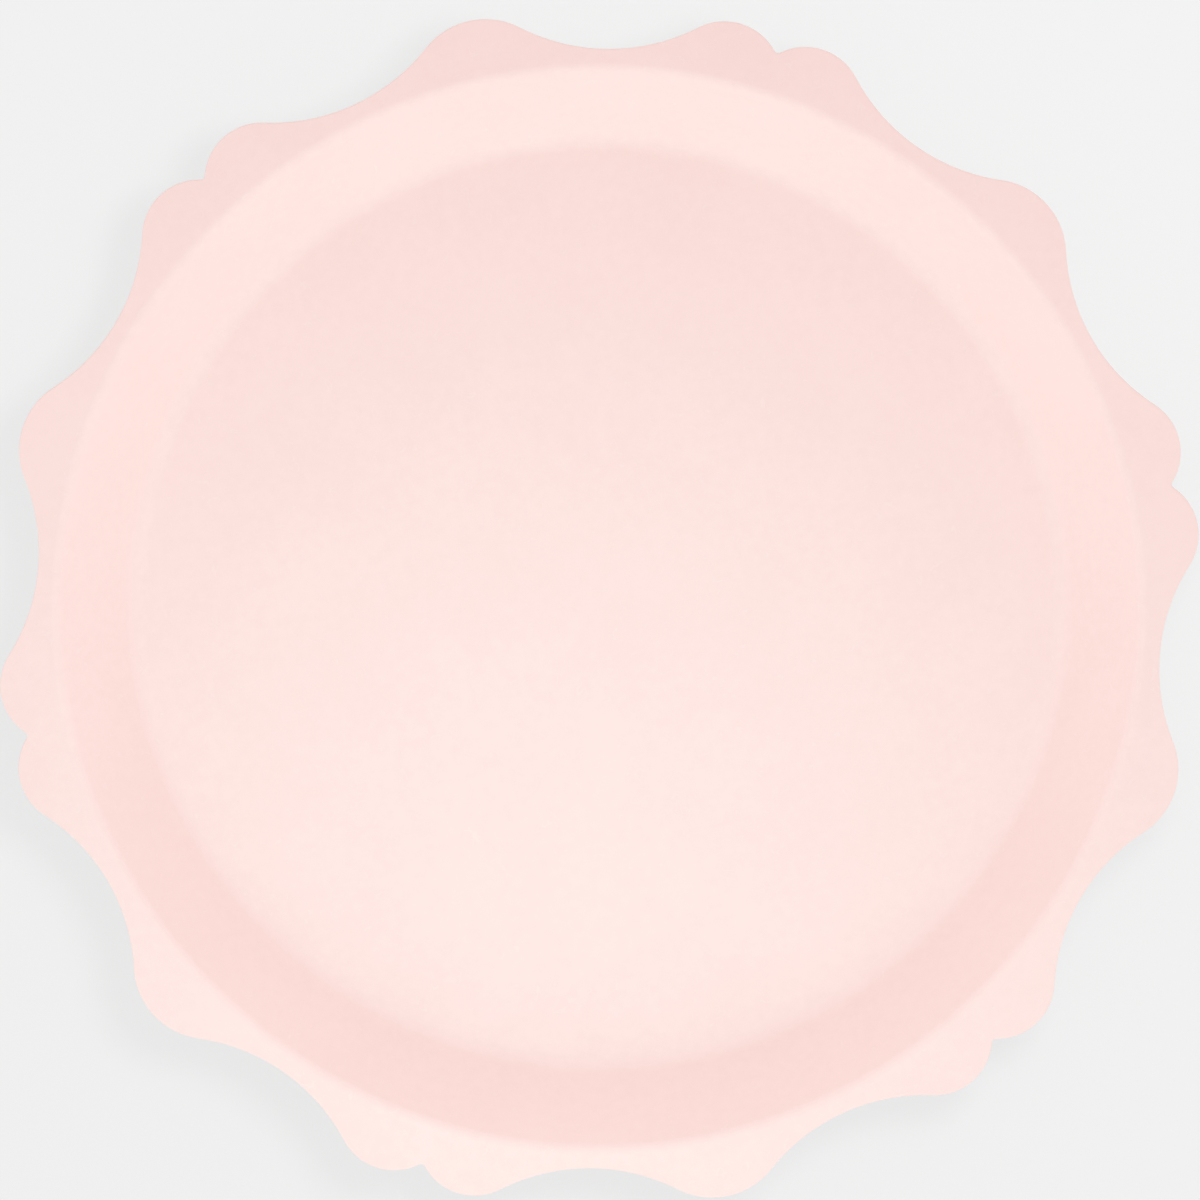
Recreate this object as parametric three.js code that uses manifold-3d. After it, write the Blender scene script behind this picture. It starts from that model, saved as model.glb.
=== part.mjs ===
// A compostable side plate, pressed from laminated fibre board: a flat round well, a sloping wall
// and a level rim. The rim's edge is die-cut into broad lobes and twin lobes with scoops between.
// Each ply of the board is a piece of its own, bonded to the next one by a thin glue line.
// Millimetres, +Z up. The origin is the centre of the underside, on the surface the plate stands on.
// +X runs through the notch of a twin lobe.

import * as THREE from "three";
import { mergeVertices } from "three/addons/utils/BufferGeometryUtils.js";
import Module from "manifold-3d";

// Section of the food face, from the axis outwards
const WELL_RADIUS = 67.6; // flat floor of the well
const WELL_FILLET = 4.5; // hollow bend from the floor up into the wall
const WALL_SLOPE = 47; // degrees above level
const DEPTH = 12; // from the rim down to the floor of the well
const RIM_FOLD = 2.5; // round bend from the wall out into the rim

// Edge of the rim, in plan
const RIM_LEDGE = 1.95; // level rim left between the fold and the deepest point of a scoop
const LOBE_REACH = 6.25; // how far the lobes stand out beyond the scoops
const REPEATS = 6; // broad lobes round the rim, and as many twin lobes
const BROAD_LOBE_RADIUS = 11.2;
const TWIN_LOBE_RADIUS = 8.5;
const TWIN_LOBE_PITCH = 12.6; // between the centres of a twin's two lobes
const NOTCH_RADIUS = 0.6; // rounded bottom of the notch between them

// Plies of the board
const FACE_PLY = 0.14; // dyed, on the food side
const CORE_PLY = 0.42; // undyed, the stiff middle
const BACK_PLY = 0.14; // dyed, on the underside
const GLUE_LINE = 0.02; // between each ply and the next

// Cutting
const TRIM_WIDTH = 4; // waste outside the lobes, cut away by the die
const DIE_OVERRUN = 1; // how far the die passes the board, above and below

// Facets
const FACET_SAG = 0.1; // the most that a facet's middle may stand off its true curve

// From the food side down
const PLIES = [
  { name: "face_ply", thickness: FACE_PLY, colour: "#fbe0da", roughness: 0.75 },
  { name: "core_ply", thickness: CORE_PLY, colour: "#f6ead9", roughness: 0.95 },
  { name: "back_ply", thickness: BACK_PLY, colour: "#f9ddd6", roughness: 0.9 },
];

// Sizes that follow from the ones above
const slope = THREE.MathUtils.degToRad(WALL_SLOPE);
const boardThickness = PLIES.reduce((sum, ply) => sum + ply.thickness, 0) + GLUE_LINE * (PLIES.length - 1);
const wellTop = boardThickness;
const rimTop = wellTop + DEPTH;
const bends = WELL_FILLET + RIM_FOLD;
const wallLength = (DEPTH - bends * (1 - Math.cos(slope))) / Math.sin(slope);
const rimStart = WELL_RADIUS + bends * Math.sin(slope) + wallLength * Math.cos(slope);
const scoopRadius = rimStart + RIM_LEDGE;
const tipRadius = scoopRadius + LOBE_REACH;

const wasm = await Module();
wasm.setup();

// How many facets an arc takes
function facets(radius, turn) {
  return Math.ceil(turn / (2 * Math.acos(1 - FACET_SAG / radius)));
}

// A point in plan from its polar coordinates
function polar(radius, angle) {
  return new THREE.Vector2(Math.cos(angle), Math.sin(angle)).multiplyScalar(radius);
}

// The circle that touches three others from outside, the first of them centred on the axis
function circleTouching(base, first, second) {
  // Each centre distance is a sum of radii, so the new centre is start + radius * step.
  const offset = (c) => (c.centre.lengthSq() - c.radius ** 2 + base.radius ** 2) / 2;
  const solve = (a, b) =>
    new THREE.Vector2(
      a * second.centre.y - b * first.centre.y,
      b * first.centre.x - a * second.centre.x,
    ).divideScalar(first.centre.cross(second.centre));
  const start = solve(offset(first), offset(second));
  const step = solve(base.radius - first.radius, base.radius - second.radius);
  const a = step.lengthSq() - 1;
  const b = start.dot(step) - base.radius;
  const c = start.lengthSq() - base.radius ** 2;
  const roots = [1, -1].map((sign) => (-b + sign * Math.sqrt(b * b - a * c)) / a);
  const radius = Math.min(...roots.filter((root) => root > 0));
  return { centre: start.addScaledVector(step, radius), radius, hollow: true };
}

// The circles whose arcs make the rim's edge, anticlockwise from the notch on +X
function rimCircles() {
  const sector = (2 * Math.PI) / REPEATS;
  const twinCentre = tipRadius - TWIN_LOBE_RADIUS;
  const twinTurn = Math.asin(TWIN_LOBE_PITCH / 2 / twinCentre);
  const notchReach = TWIN_LOBE_RADIUS + NOTCH_RADIUS;
  const notchCentre =
    twinCentre * Math.cos(twinTurn) + Math.sqrt(notchReach ** 2 - (TWIN_LOBE_PITCH / 2) ** 2);
  const base = { centre: new THREE.Vector2(), radius: scoopRadius };
  const circles = [];
  for (let k = 0; k < REPEATS; k++) {
    const axis = k * sector;
    const twin = (turn) => ({ centre: polar(twinCentre, axis + turn), radius: TWIN_LOBE_RADIUS });
    const notch = { centre: polar(notchCentre, axis), radius: NOTCH_RADIUS, hollow: true };
    const broad = {
      centre: polar(tipRadius - BROAD_LOBE_RADIUS, axis + sector / 2),
      radius: BROAD_LOBE_RADIUS,
    };
    const leaving = twin(twinTurn);
    const arriving = twin(sector - twinTurn);
    circles.push(notch, leaving, circleTouching(base, leaving, broad), broad);
    circles.push(circleTouching(base, broad, arriving), arriving);
  }
  return circles;
}

// The rim's edge as one closed run of arcs, each from its touch with the last circle to the next
function rimOutline() {
  const circles = rimCircles();
  const points = circles.flatMap(({ centre, radius, hollow = false }, i) => {
    const towards = (circle) => circle.centre.clone().sub(centre).angle();
    const from = towards(circles.at(i - 1));
    const to = towards(circles.at((i + 1) % circles.length));
    const turn = THREE.MathUtils.euclideanModulo(hollow ? from - to : to - from, 2 * Math.PI);
    const arc = new THREE.ArcCurve(centre.x, centre.y, radius, from, to, hollow);
    return arc.getPoints(facets(radius, turn)).slice(1);
  });
  return new THREE.Shape(points);
}

// Half section of the surface that lies at a depth under the food face, from the axis outwards.
// The bends share their centres at every depth, so the plies nest.
function sectionAt(depth) {
  const level = -Math.PI / 2;
  const hollow = new THREE.ArcCurve(
    WELL_RADIUS, wellTop + WELL_FILLET, WELL_FILLET + depth, level, level + slope, false,
  );
  const fold = new THREE.ArcCurve(
    rimStart, rimTop - RIM_FOLD, RIM_FOLD - depth, slope - level, -level, true,
  );
  return [
    new THREE.Vector2(0, wellTop - depth),
    ...hollow.getPoints(facets(WELL_FILLET, slope)),
    ...fold.getPoints(facets(RIM_FOLD, slope)),
    new THREE.Vector2(tipRadius + TRIM_WIDTH, rimTop - depth),
  ];
}

// A geometry as a solid that can be cut
function solidOf(geometry) {
  const bare = new THREE.BufferGeometry();
  bare.setAttribute("position", geometry.getAttribute("position"));
  bare.setIndex(geometry.getIndex());
  const merged = mergeVertices(bare);
  const vertProperties = merged.getAttribute("position").array;
  const corners = merged.getIndex().array;
  const kept = [];
  for (let i = 0; i < corners.length; i += 3) {
    const [a, b, c] = corners.slice(i, i + 3);
    // A lathe's triangles have no area where they meet the axis.
    if (a !== b && b !== c && c !== a) kept.push(a, b, c);
  }
  const triVerts = new Uint32Array(kept);
  return new wasm.Manifold(new wasm.Mesh({ numProp: 3, vertProperties, triVerts }));
}

// A cut solid as a geometry that can be drawn
function geometryOf(solid) {
  const { vertProperties, triVerts } = solid.getMesh();
  const geometry = new THREE.BufferGeometry();
  geometry.setAttribute("position", new THREE.BufferAttribute(vertProperties, 3));
  geometry.setIndex(new THREE.BufferAttribute(triVerts, 1));
  geometry.computeVertexNormals();
  return geometry;
}

// The die: a prism of the rim's outline, from below the board to above it
function rimDie() {
  const depth = rimTop + 2 * DIE_OVERRUN;
  const prism = new THREE.ExtrudeGeometry(rimOutline(), { depth, bevelEnabled: false });
  return solidOf(prism.translate(0, 0, -DIE_OVERRUN));
}

// One ply, pressed to shape between two depths and cut by the die
function plySolid(top, bottom, die) {
  const profile = [...sectionAt(bottom), ...sectionAt(top).reverse()];
  const turns = REPEATS * facets(rimStart, (2 * Math.PI) / REPEATS);
  const pressed = new THREE.LatheGeometry(profile, turns).rotateX(Math.PI / 2);
  return solidOf(pressed).intersect(die);
}

const plate = new THREE.Group();
const die = rimDie();
let top = 0;
for (const ply of PLIES) {
  const bottom = top + ply.thickness;
  const material = new THREE.MeshStandardMaterial({
    color: ply.colour,
    roughness: ply.roughness,
    metalness: 0,
  });
  const mesh = new THREE.Mesh(geometryOf(plySolid(top, bottom, die)), material);
  mesh.name = ply.name;
  plate.add(mesh);
  top = bottom + GLUE_LINE;
}

export default plate;
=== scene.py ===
# The looks of a compostable side plate: three bonded plies of pressed fibre board with a die-cut edge,
# on a pale floor under soft studio light. Metres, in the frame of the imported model.

import math

import bpy
import numpy as np
from mathutils import Matrix, Vector


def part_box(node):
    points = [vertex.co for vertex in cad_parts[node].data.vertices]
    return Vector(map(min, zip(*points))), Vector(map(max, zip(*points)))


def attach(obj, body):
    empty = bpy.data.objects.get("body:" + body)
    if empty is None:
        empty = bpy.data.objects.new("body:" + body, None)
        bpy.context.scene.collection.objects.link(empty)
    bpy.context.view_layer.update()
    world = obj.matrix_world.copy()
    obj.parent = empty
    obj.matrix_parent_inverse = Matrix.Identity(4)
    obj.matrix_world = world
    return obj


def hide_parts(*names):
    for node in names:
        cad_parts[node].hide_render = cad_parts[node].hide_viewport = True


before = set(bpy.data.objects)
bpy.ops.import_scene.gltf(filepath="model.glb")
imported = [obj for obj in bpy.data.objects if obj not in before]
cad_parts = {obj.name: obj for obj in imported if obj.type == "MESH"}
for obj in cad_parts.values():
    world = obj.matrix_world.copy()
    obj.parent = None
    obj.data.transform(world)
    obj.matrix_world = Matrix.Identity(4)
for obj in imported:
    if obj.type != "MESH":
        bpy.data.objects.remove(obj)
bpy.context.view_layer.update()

MM = 0.001

# Section of the food face, from the axis outwards
WELL_RADIUS = 67.6 * MM  # flat floor of the well
WELL_FILLET = 4.5 * MM  # hollow bend from the floor up into the wall
WALL_SLOPE = math.radians(47)
DEPTH = 12 * MM  # from the rim down to the floor of the well
RIM_FOLD = 2.5 * MM  # round bend from the wall out into the rim

# Edge of the rim, in plan
RIM_LEDGE = 1.95 * MM  # level rim left between the fold and the deepest point of a scoop
LOBE_REACH = 6.25 * MM  # how far the lobes stand out beyond the scoops
REPEATS = 6
BROAD_LOBE_RADIUS = 11.2 * MM
TWIN_LOBE_RADIUS = 8.5 * MM
TWIN_LOBE_PITCH = 12.6 * MM
NOTCH_RADIUS = 0.6 * MM

# Traces of the making
DIE_ROUND = 0.05 * MM  # edge that the die pressed over
BURR_ROUND = 0.05 * MM  # edge that the die broke through
PLY_ROUND = 0.02 * MM  # edges inside the board
RIM_WAVE = 0.07 * MM  # height of the first of the slow waves that the rim springs into
RIM_WAVES = [(2, 1.0, 0.6), (3, 0.7, 2.1), (5, 0.4, 4.0)]  # count round the rim, share of the height, phase

# How finely the meshes follow the shape
EDGE_STEP = 0.9 * MM  # along the rim's edge
LEAST_STEPS = 4  # along its shortest arc
BEND_STEPS = 12  # round each bend
ROUND_STEPS = 4  # round each softened edge
SUPPORT = 0.15 * MM  # spacing of the rings that hold a flat stretch flat
WELL_RINGS = (0.2, 0.45, 0.7, 0.9)  # shares of the way out across the floor of the well
RIM_RINGS = (0.06, 0.3, 0.55, 0.8)  # shares of the way out across the rim

# Grain of the paper
CLOUD_SIZE = 16 * MM
MOTTLE_SIZE = 1.5 * MM
TOOTH_SIZE = 0.35 * MM
NOISE_RANGE = (0.3, 0.7)  # where most of a noise lies
CLOUD_RANGE = (0.7, 1.3)  # where most of the sum of cloud and mottle lies
ROUGHNESS_SPREAD = 0.05
HAIR_SIZE = 3 * MM
HAIR_WIDTH = 0.05 * MM
HAIR_CURL = 1.0
HAIR_GAPS = (0.55, 0.62)  # a hair fades in where its second noise rises through this range
HAIR_RAISE = 0.5  # height of a hair against the tooth's
HAIR_SHOW = 0.18
HAIR_COLOUR = (0.98, 0.90, 0.86, 1)
SPECK_SPACING = 7 * MM
SPECK_RADIUS = 0.16 * MM
SPECK_CORE = 0.5  # share of the radius that is dark all through
SPECK_RARITY = 0.93
SPECK_SHOW = 0.3
SPECK_COLOUR = (0.50, 0.33, 0.26, 1)
COAT_ROUGHNESS = 0.55
LAYER_SIZE = 1.2 * MM
LAYER_SQUEEZE = 12  # how much flatter than wide the pulp's layers are
LAYER_CURL = 0.6

# Finishes, each between two colours
FACE_FINISH = {
    "pale": (0.975, 0.767, 0.731, 1),
    "deep": (0.961, 0.749, 0.713, 1),
    "tooth": 0.012 * MM,
    "roughness": 0.66,
    "specular": 0.35,
    "coat": 0.05,
}
BACK_FINISH = {
    "pale": (0.945, 0.748, 0.705, 1),
    "deep": (0.905, 0.705, 0.660, 1),
    "tooth": 0.03 * MM,
    "roughness": 0.82,
    "specular": 0.25,
    "coat": 0.0,
}
PULP_FINISH = {
    "pale": (0.95, 0.87, 0.79, 1),
    "deep": (0.89, 0.79, 0.68, 1),
    "tooth": 0.04 * MM,
    "roughness": 0.92,
    "specular": 0.2,
}

# View of the photograph
PHOTO_TURN = math.radians(12.38)  # the twin lobe on +X is seen this far above the picture's right
CAMERA_TILT = math.radians(5.8)  # from straight above, towards the picture's top
CAMERA_DISTANCE = 3.0
PHOTO_SIZE = 1200  # pixels
PHOTO_SCALE = 6.714 / MM  # pixels to a metre at the rim
PLATE_CENTRE = (599.2, 610.4)  # pixel of the middle of the rim
SENSOR = 36.0  # millimetres, as a camera's are

# Floor and light: the tent is warm and the plate's lamps are cool, and together they are about white
FLOOR_HALF = 4.0
FLOOR_GREY = (0.866, 0.866, 0.866, 1)
FLOOR_MATT = (0.73, 0.89, 0.89, 1)  # looks neutral in the tent's warm light
FLOOR_GLOW = 0.84  # share of the floor's look that no shadow reaches
WARM = (1.0, 0.82, 0.82)
COOL = (0.51, 1.0, 1.0)
TENT_COLOUR = (*WARM, 1)
TENT_SIDES = 1.045  # strength at the horizon
TENT_TOP = 0.755  # strength overhead

# Softboxes: bearing anticlockwise from the picture's right and elevation, in degrees, and power in watts
KEY_LAMP = {"bearing": 262, "elevation": 70, "distance": 0.17, "size": 0.085, "power": 0.091, "colour": COOL}
LOW_LAMP = {"bearing": 270, "elevation": 37, "distance": 1.5, "size": 0.75, "power": 3.85, "colour": COOL}
FLOOR_LAMP = {"bearing": 45, "elevation": 66, "distance": 0.5, "size": 0.175, "power": 1.45, "colour": WARM}

# Where the plies lie, from the frame
RIM_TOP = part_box("face_ply")[1].z
WELL_TOP = RIM_TOP - DEPTH
BENDS = WELL_FILLET + RIM_FOLD
WALL_LENGTH = (DEPTH - BENDS * (1 - math.cos(WALL_SLOPE))) / math.sin(WALL_SLOPE)
RIM_START = WELL_RADIUS + BENDS * math.sin(WALL_SLOPE) + WALL_LENGTH * math.cos(WALL_SLOPE)
SCOOP_RADIUS = RIM_START + RIM_LEDGE
TIP_RADIUS = SCOOP_RADIUS + LOBE_REACH

# Directions of the photograph
RIGHT = Vector((math.cos(PHOTO_TURN), -math.sin(PHOTO_TURN), 0))
AWAY = Vector((math.sin(PHOTO_TURN), math.cos(PHOTO_TURN), 0))  # towards the picture's top
ABOVE = Vector((0, 0, 1))


# Shape of the rim's edge

def polar(radius, angle):
    return np.array([math.cos(angle), math.sin(angle)]) * radius


def circle_touching(base_radius, first, second):
    """The circle that touches two lobes from outside and a circle about the axis too.
    Its centre moves evenly with its radius until both fit, so the radius is the root of a quadratic."""
    centres = np.array([first[0], second[0]])
    radii = np.array([first[1], second[1]])
    offsets = ((centres ** 2).sum(1) - radii ** 2 + base_radius ** 2) / 2
    start = np.linalg.solve(centres, offsets)
    step = np.linalg.solve(centres, base_radius - radii)
    square = step @ step - 1
    linear = 2 * (start @ step - base_radius)
    roots = np.roots([square, linear, start @ start - base_radius ** 2])
    radius = min(root for root in roots.real if root > 0)
    return start + step * radius, radius, -1


def rim_circles():
    """(centre, radius, side) of each arc of the edge, anticlockwise.
    Side is 1 on a lobe and -1 in a hollow."""
    sector = 2 * math.pi / REPEATS
    twin_centre = TIP_RADIUS - TWIN_LOBE_RADIUS
    half_pitch = TWIN_LOBE_PITCH / 2
    twin_turn = math.asin(half_pitch / twin_centre)
    notch_reach = math.sqrt((TWIN_LOBE_RADIUS + NOTCH_RADIUS) ** 2 - half_pitch ** 2)
    notch_centre = twin_centre * math.cos(twin_turn) + notch_reach
    circles = []
    for k in range(REPEATS):
        axis = k * sector
        leaving = (polar(twin_centre, axis + twin_turn), TWIN_LOBE_RADIUS, 1)
        arriving = (polar(twin_centre, axis + sector - twin_turn), TWIN_LOBE_RADIUS, 1)
        broad = (polar(TIP_RADIUS - BROAD_LOBE_RADIUS, axis + sector / 2), BROAD_LOBE_RADIUS, 1)
        circles.append((polar(notch_centre, axis), NOTCH_RADIUS, -1))
        circles += [leaving, circle_touching(SCOOP_RADIUS, leaving, broad)]
        circles += [broad, circle_touching(SCOOP_RADIUS, broad, arriving), arriving]
    return circles


def rim_edge():
    """Points along the rim's edge and the outward direction at each."""
    circles = rim_circles()
    points = []
    normals = []
    for i, (centre, radius, side) in enumerate(circles):
        before = circles[i - 1][0] - centre
        after = circles[(i + 1) % len(circles)][0] - centre
        first = math.atan2(before[1], before[0])
        turn = side * (math.atan2(after[1], after[0]) - first) % (2 * math.pi)
        steps = max(LEAST_STEPS, math.ceil(radius * turn / EDGE_STEP))
        for angle in first + side * turn * np.arange(steps) / steps:
            points.append(centre + polar(radius, angle))
            normals.append(polar(side, angle))
    return np.array(points), np.array(normals)


EDGE, EDGE_OUT = rim_edge()
EDGE_ANGLE = np.arctan2(EDGE[:, 1], EDGE[:, 0])
SPOKES = np.stack([np.cos(EDGE_ANGLE), np.sin(EDGE_ANGLE)], 1)


# Meshes of the plies

def section(depth):
    """(radius, height) down the food face as far as the rim, at a depth under it."""
    low = WELL_TOP - depth
    high = RIM_TOP - depth
    flat = [(WELL_RADIUS * share, low) for share in WELL_RINGS]
    flat.append((WELL_RADIUS - SUPPORT, low))
    turns = WALL_SLOPE * np.arange(BEND_STEPS + 1) / BEND_STEPS
    hollow = WELL_FILLET + depth
    fold = RIM_FOLD - depth
    bend = [(WELL_RADIUS + hollow * math.sin(t), low + hollow * (1 - math.cos(t))) for t in turns]
    top_bend = [(RIM_START - fold * math.sin(t), high - fold * (1 - math.cos(t))) for t in turns[::-1]]
    foot = np.array(bend[-1])
    head = np.array(top_bend[0])
    along = (head - foot) / np.linalg.norm(head - foot)
    wall = [foot + along * SUPPORT, (foot + head) / 2, head - along * SUPPORT]
    return flat + bend + [tuple(p) for p in wall] + top_bend


def spring(ring):
    """How far the plate's own spring lifts each point: nothing in the well, slow waves round the rim."""
    radius = np.hypot(ring[:, 0], ring[:, 1])
    angle = np.arctan2(ring[:, 1], ring[:, 0])
    rise = np.clip((radius - WELL_RADIUS) / (TIP_RADIUS - WELL_RADIUS), 0, 1) ** 2
    wave = sum(share * np.sin(count * angle + phase) for count, share, phase in RIM_WAVES)
    return RIM_WAVE * rise * wave


def level_ring(points, height):
    return np.column_stack([points, np.full(len(points), height)])


def surface_rings(depth, inset):
    """Rings of one face of a ply, from the axis out to an inset from the cut edge."""
    rings = [level_ring(SPOKES * radius, height) for radius, height in section(depth)]
    inner = SPOKES * RIM_START
    outer = EDGE - EDGE_OUT * inset
    rings += [level_ring(inner + (outer - inner) * share, RIM_TOP - depth) for share in RIM_RINGS]
    rings += [level_ring(outer - EDGE_OUT * back, RIM_TOP - depth) for back in (SUPPORT, 0)]
    return rings


def rounded_edge(depth, inset, turn):
    """Rings from a face of a ply round to its cut side.
    Turn is 1 under the food face and -1 above the underside."""
    rings = []
    for angle in (math.pi / 2) * np.arange(1, ROUND_STEPS + 1) / ROUND_STEPS:
        edge = EDGE - EDGE_OUT * inset * (1 - math.sin(angle))
        height = RIM_TOP - depth - turn * inset * (1 - math.cos(angle))
        rings.append(level_ring(edge, height))
    return rings


def ply_mesh(name, top, bottom, top_round, bottom_round):
    """A closed mesh of one ply between two depths under the food face."""
    rings = surface_rings(top, top_round) + rounded_edge(top, top_round, 1)
    rings += rounded_edge(bottom, bottom_round, -1)[::-1] + surface_rings(bottom, bottom_round)[::-1]
    for ring in rings:
        ring[:, 2] += spring(ring)
    count = len(EDGE)
    poles = [(0, 0, WELL_TOP - top), (0, 0, WELL_TOP - bottom)]
    points = np.concatenate([np.concatenate(rings), poles])
    top_pole = len(rings) * count
    last = (len(rings) - 1) * count
    faces = []
    for k in range(count):
        after = (k + 1) % count
        faces.append((top_pole, k, after))
        for here in range(0, last, count):
            below = here + count
            faces.append((here + k, below + k, below + after, here + after))
        faces.append((last + k, top_pole + 1, last + after))
    mesh = bpy.data.meshes.new(name)
    mesh.from_pydata(points.tolist(), [], faces)
    mesh.shade_smooth()
    mesh.validate()
    return mesh


# Materials

def feed(tree, socket, value):
    """Gives a socket a plain value, or links it to another socket."""
    if isinstance(value, bpy.types.NodeSocket):
        tree.links.new(value, socket)
    else:
        socket.default_value = value


def add(tree, kind, inputs, **properties):
    """A new node with these inputs, by name or number."""
    node = tree.nodes.new(kind)
    for name, value in properties.items():
        setattr(node, name, value)
    for key, value in inputs.items():
        feed(tree, node.inputs[key], value)
    return node


def new_material(name):
    material = bpy.data.materials.new(name)
    material.use_nodes = True
    return material, material.node_tree, material.node_tree.nodes["Principled BSDF"]


def own_place(tree):
    """Where a point of the surface lies on its object."""
    return tree.nodes.new("ShaderNodeTexCoord").outputs["Object"]


def noise(tree, where, size, detail, distortion=0.0):
    """Grain of about that size, from 0 to 1."""
    inputs = {"Vector": where, "Scale": 1 / size, "Detail": detail, "Distortion": distortion}
    return add(tree, "ShaderNodeTexNoise", inputs).outputs["Fac"]


def ramp(tree, value, low, high, to_low=0.0, to_high=1.0):
    """The value carried from one range to another, eased at both ends."""
    inputs = {"Value": value, "From Min": low, "From Max": high, "To Min": to_low, "To Max": to_high}
    return add(tree, "ShaderNodeMapRange", inputs, interpolation_type="SMOOTHSTEP").outputs["Result"]


def maths(tree, operation, first, second=0.0):
    return add(tree, "ShaderNodeMath", {0: first, 1: second}, operation=operation).outputs["Value"]


def mixed(tree, share, under, over):
    """One colour over another by a share from 0 to 1."""
    node = add(tree, "ShaderNodeMix", {0: share, 6: under, 7: over}, data_type="RGBA")
    return node.outputs[2]


def fibres(tree, where):
    """Short curled hairs: thin contour lines of a noise, broken up by a second one."""
    swirl = noise(tree, where, HAIR_SIZE, detail=1, distortion=HAIR_CURL)
    lines = maths(tree, "ABSOLUTE", maths(tree, "SUBTRACT", swirl, 0.5))
    gaps = ramp(tree, noise(tree, where, HAIR_SIZE / 2, detail=0), *HAIR_GAPS)
    return maths(tree, "MULTIPLY", ramp(tree, lines, 0.0, HAIR_WIDTH / HAIR_SIZE, 1.0, 0.0), gaps)


def specks(tree, where):
    """Sparse round specks of bark and shive. Their rarity is the share of the cells that have none."""
    cells = add(tree, "ShaderNodeTexVoronoi", {"Vector": where, "Scale": 1 / SPECK_SPACING})
    edge = SPECK_RADIUS / SPECK_SPACING
    spot = ramp(tree, cells.outputs["Distance"], SPECK_CORE * edge, edge, 1.0, 0.0)
    chance = add(tree, "ShaderNodeSeparateColor", {"Color": cells.outputs["Color"]}).outputs["Red"]
    return maths(tree, "MULTIPLY", spot, maths(tree, "GREATER_THAN", chance, SPECK_RARITY))


def haired(tree, colour, hairs):
    return mixed(tree, maths(tree, "MULTIPLY", hairs, HAIR_SHOW), colour, HAIR_COLOUR)


def emboss(tree, shader, height, tooth):
    """Bumps a surface by a height from 0 to 1. Tooth is how high 1 stands."""
    bump = add(tree, "ShaderNodeBump", {"Height": height, "Distance": tooth})
    feed(tree, shader.inputs["Normal"], bump.outputs["Normal"])


def dyed_paper(name, pale, deep, tooth, roughness, specular, coat):
    """Dyed paper: cloudy formation, fine mottle, a few paler hairs and darker specks, a toothed surface."""
    material, tree, shader = new_material(name)
    where = own_place(tree)
    cloud = noise(tree, where, CLOUD_SIZE, detail=4)
    mottle = noise(tree, where, MOTTLE_SIZE, detail=3)
    depth = ramp(tree, maths(tree, "ADD", cloud, mottle), *CLOUD_RANGE)
    hairs = fibres(tree, where)
    colour = haired(tree, mixed(tree, depth, pale, deep), hairs)
    dots = maths(tree, "MULTIPLY", specks(tree, where), SPECK_SHOW)
    feed(tree, shader.inputs["Base Color"], mixed(tree, dots, colour, SPECK_COLOUR))
    smooth = roughness - ROUGHNESS_SPREAD
    rough = roughness + ROUGHNESS_SPREAD
    feed(tree, shader.inputs["Roughness"], ramp(tree, mottle, *NOISE_RANGE, smooth, rough))
    grain = noise(tree, where, TOOTH_SIZE, detail=3)
    raised = maths(tree, "MULTIPLY", hairs, HAIR_RAISE)
    emboss(tree, shader, maths(tree, "ADD", grain, raised), tooth)
    shader.inputs["Specular IOR Level"].default_value = specular
    shader.inputs["Coat Weight"].default_value = coat
    shader.inputs["Coat Roughness"].default_value = COAT_ROUGHNESS
    return material


def raw_pulp(name, pale, deep, tooth, roughness, specular):
    """Undyed pulp: fibres matted in flat layers, so that its cut edge is streaked along the board."""
    material, tree, shader = new_material(name)
    where = own_place(tree)
    flat = add(tree, "ShaderNodeVectorMath", {0: where, 1: (1, 1, LAYER_SQUEEZE)}, operation="MULTIPLY")
    layers = noise(tree, flat.outputs["Vector"], LAYER_SIZE, detail=4, distortion=LAYER_CURL)
    colour = mixed(tree, ramp(tree, layers, *NOISE_RANGE), pale, deep)
    feed(tree, shader.inputs["Base Color"], haired(tree, colour, fibres(tree, where)))
    emboss(tree, shader, layers, tooth)
    shader.inputs["Roughness"].default_value = roughness
    shader.inputs["Specular IOR Level"].default_value = specular
    return material


# Pieces

def new_object(name, data):
    obj = bpy.data.objects.new(name, data)
    bpy.context.scene.collection.objects.link(obj)
    return obj


def ply(name, node, material, top_round, bottom_round):
    """One ply of the board, in the place of its node."""
    low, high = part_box(node)
    mesh = ply_mesh(name, RIM_TOP - high.z, WELL_TOP - low.z, top_round, bottom_round)
    mesh.materials.append(material)
    piece = new_object(name, mesh)
    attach(piece, "root")
    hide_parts(node)
    return piece


face_paper = dyed_paper("face_paper", **FACE_FINISH)
back_paper = dyed_paper("back_paper", **BACK_FINISH)
core_pulp = raw_pulp("core_pulp", **PULP_FINISH)

plies = [
    ply("food_face", "face_ply", face_paper, DIE_ROUND, PLY_ROUND),
    ply("middle_layer", "core_ply", core_pulp, PLY_ROUND, PLY_ROUND),
    ply("underside", "back_ply", back_paper, PLY_ROUND, BURR_ROUND),
]


# Stage, light and camera

def seen_directly(tree):
    """1 where the camera sees a surface, straight or through a reflection or glass."""
    path = tree.nodes.new("ShaderNodeLightPath").outputs
    mirror = maths(tree, "MAXIMUM", path["Is Glossy Ray"], path["Is Transmission Ray"])
    return maths(tree, "MAXIMUM", path["Is Camera Ray"], mirror)


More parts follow.
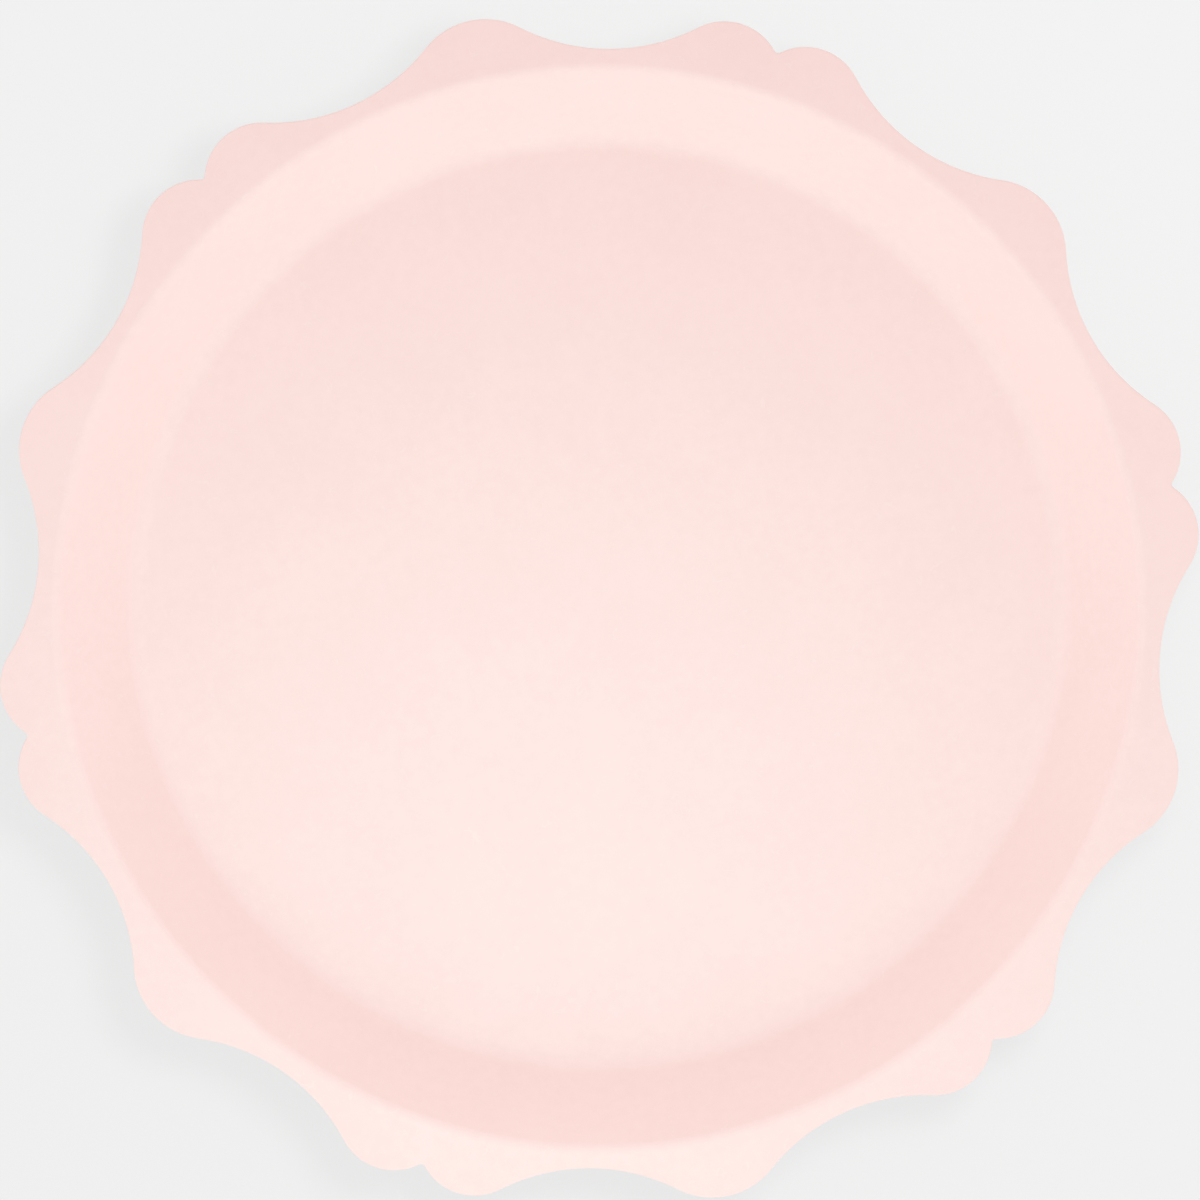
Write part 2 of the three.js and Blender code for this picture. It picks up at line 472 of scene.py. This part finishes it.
def make_floor():
    """A plain floor that looks evenly pale and keeps the plate's shadow."""
    half = FLOOR_HALF
    corners = [(-half, -half, 0), (half, -half, 0), (half, half, 0), (-half, half, 0)]
    mesh = bpy.data.meshes.new("floor")
    mesh.from_pydata(corners, [], [(0, 1, 2, 3)])
    floor = new_object("floor", mesh)
    material, tree, shader = new_material("floor")
    tree.nodes.remove(shader)
    matt = add(tree, "ShaderNodeBsdfDiffuse", {"Color": FLOOR_MATT}).outputs[0]
    glow = add(tree, "ShaderNodeEmission", {"Color": FLOOR_GREY}).outputs[0]
    share = maths(tree, "MULTIPLY", seen_directly(tree), FLOOR_GLOW)
    look = add(tree, "ShaderNodeMixShader", {0: share, 1: matt, 2: glow})
    feed(tree, tree.nodes["Material Output"].inputs["Surface"], look.outputs[0])
    mesh.materials.append(material)
    return floor


def make_world():
    """A light tent round the plate, which the camera sees as a plain pale backdrop."""
    world = bpy.data.worlds.new("tent")
    world.use_nodes = True
    tree = world.node_tree
    towards = tree.nodes.new("ShaderNodeTexCoord").outputs["Generated"]
    height = add(tree, "ShaderNodeSeparateXYZ", {"Vector": towards}).outputs["Z"]
    sides_to_top = {"Value": height, "To Min": TENT_SIDES, "To Max": TENT_TOP}
    strength = add(tree, "ShaderNodeMapRange", sides_to_top).outputs["Result"]
    backdrop = add(tree, "ShaderNodeBackground", {"Color": FLOOR_GREY}).outputs[0]
    light = add(tree, "ShaderNodeBackground", {"Color": TENT_COLOUR, "Strength": strength}).outputs[0]
    look = add(tree, "ShaderNodeMixShader", {0: seen_directly(tree), 1: light, 2: backdrop})
    feed(tree, tree.nodes["World Output"].inputs["Surface"], look.outputs[0])
    bpy.context.scene.world = world


def make_softbox(name, lit, bearing, elevation, distance, size, power, colour):
    """A square lamp that looks at the middle of the rim and lights only the given objects."""
    turn = math.radians(bearing)
    rise = math.radians(elevation)
    level = RIGHT * math.cos(turn) + AWAY * math.sin(turn)
    direction = level * math.cos(rise) + ABOVE * math.sin(rise)
    lamp = bpy.data.lights.new(name, "AREA")
    lamp.size = size
    lamp.energy = power
    lamp.color = colour
    softbox = new_object(name, lamp)
    softbox.location = direction * distance + ABOVE * RIM_TOP
    softbox.rotation_euler = direction.to_track_quat("Z", "Y").to_euler()
    softbox.visible_camera = False
    receivers = bpy.data.collections.new(name)
    for obj in lit:
        receivers.objects.link(obj)
    softbox.light_linking.receiver_collection = receivers


def make_camera():
    """The photograph's camera, moved sideways so that the middle of the rim falls on its pixel."""
    data = bpy.data.cameras.new("camera")
    frame_width = PHOTO_SIZE / PHOTO_SCALE
    data.sensor_width = SENSOR
    data.lens = SENSOR * CAMERA_DISTANCE / frame_width
    camera = new_object("camera", data)
    back = AWAY * math.sin(CAMERA_TILT) + ABOVE * math.cos(CAMERA_TILT)
    up = AWAY * math.cos(CAMERA_TILT) - ABOVE * math.sin(CAMERA_TILT)
    across = (PHOTO_SIZE / 2 - PLATE_CENTRE[0]) / PHOTO_SCALE
    along = (PLATE_CENTRE[1] - PHOTO_SIZE / 2) / PHOTO_SCALE
    place = ABOVE * RIM_TOP + RIGHT * across + up * along + back * CAMERA_DISTANCE
    camera.matrix_world = Matrix.Translation(place) @ Matrix((RIGHT, up, back)).transposed().to_4x4()
    bpy.context.scene.camera = camera


floor = make_floor()
make_world()
make_softbox("key", plies, **KEY_LAMP)
make_softbox("low", plies, **LOW_LAMP)
make_softbox("floor_lamp", [floor], **FLOOR_LAMP)
make_camera()
bpy.context.scene.view_settings.view_transform = "Standard"
